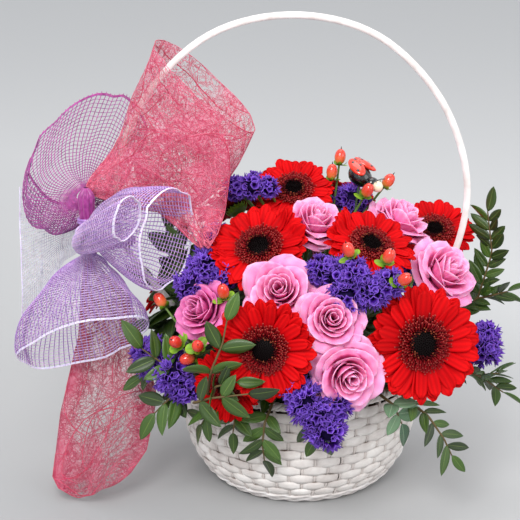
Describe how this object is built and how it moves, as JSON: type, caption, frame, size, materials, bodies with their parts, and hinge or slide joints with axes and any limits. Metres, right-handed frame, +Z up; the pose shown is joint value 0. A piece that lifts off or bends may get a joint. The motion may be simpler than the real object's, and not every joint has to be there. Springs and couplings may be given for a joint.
{
  "type": "flower basket arrangement",
  "caption": "Round woven basket with an arched handle, filled with gerberas, roses, statice, berries and greenery in foam, with a bow of mesh ribbon on the handle.",
  "frame": {"origin": "centre of the underside of the basket's base, on the surface that it stands on", "axes": "+Z up; -Y towards the front of the arrangement; +X to the right as seen from the front, along the handle's span"},
  "size_m": [0.4863, 0.3355, 0.444],
  "materials": {
    "painted_cane": "matt white paint",
    "clear_film": "clear",
    "floral_foam": "matt, porous",
    "gerbera_petal": "satin",
    "gerbera_heart": "matt",
    "rose_petal": "velvety",
    "deep_rose_petal": "velvety",
    "statice_floret": "papery",
    "berry_skin": "glossy",
    "leaf": "waxy",
    "ladybird_gloss": "glossy",
    "magenta_mesh": "matt thread",
    "lilac_mesh": "matt thread",
    "coral_web": "matt fibre"
  },
  "bodies": {
    "root": {"basket_wall": "painted_cane", "basket_rim": "painted_cane", "basket_base": "painted_cane", "basket_handle": "painted_cane", "basket_liner": "clear_film", "floral_foam": "floral_foam", "gerbera_top_left": "gerbera_petal", "gerbera_top_left_heart": "gerbera_heart", "gerbera_top_right": "gerbera_petal", "gerbera_top_right_heart": "gerbera_heart", "gerbera_front_left": "gerbera_petal", "gerbera_front_left_heart": "gerbera_heart", "gerbera_front_right": "gerbera_petal", "gerbera_front_right_heart": "gerbera_heart", "gerbera_crown": "gerbera_petal", "gerbera_crown_heart": "gerbera_heart", "gerbera_back_left": "gerbera_petal", "gerbera_back_left_heart": "gerbera_heart", "gerbera_far_right": "gerbera_petal", "gerbera_far_right_heart": "gerbera_heart", "gerbera_far_left": "gerbera_petal", "gerbera_far_left_heart": "gerbera_heart", "gerbera_front_low": "gerbera_petal", "gerbera_front_low_heart": "gerbera_heart", "gerbera_back": "gerbera_petal", "gerbera_back_heart": "gerbera_heart", "rose_front_centre": "rose_petal", "rose_front_middle": "rose_petal", "rose_front_low": "rose_petal", "rose_front_left": "deep_rose_petal", "rose_top": "rose_petal", "rose_top_right": "rose_petal", "rose_right": "rose_petal", "rose_back_right": "rose_petal", "rose_back_left": "rose_petal", "statice_left": "statice_floret", "statice_centre": "statice_floret", "statice_front": "statice_floret", "statice_front_left": "statice_floret", "statice_top": "statice_floret", "statice_right": "statice_floret", "hypericum_left": "berry_skin", "hypericum_front_left": "berry_skin", "hypericum_centre": "berry_skin", "hypericum_top": "berry_skin", "greenery_right": "leaf", "greenery_low_right": "leaf", "greenery_front_right": "leaf", "greenery_front": "leaf", "greenery_left": "leaf", "greenery_back": "leaf", "ladybird_pick": "ladybird_gloss", "bow_tie": "magenta_mesh", "mesh_magenta_loop": "magenta_mesh", "mesh_lilac_upper_loop": "lilac_mesh", "mesh_lilac_small_loop": "lilac_mesh", "mesh_lilac_lower_loop": "lilac_mesh", "coral_web_sleeve": "coral_web", "mesh_lilac_tail": "lilac_mesh", "coral_web_tail": "coral_web"}
  },
  "joints": []
}
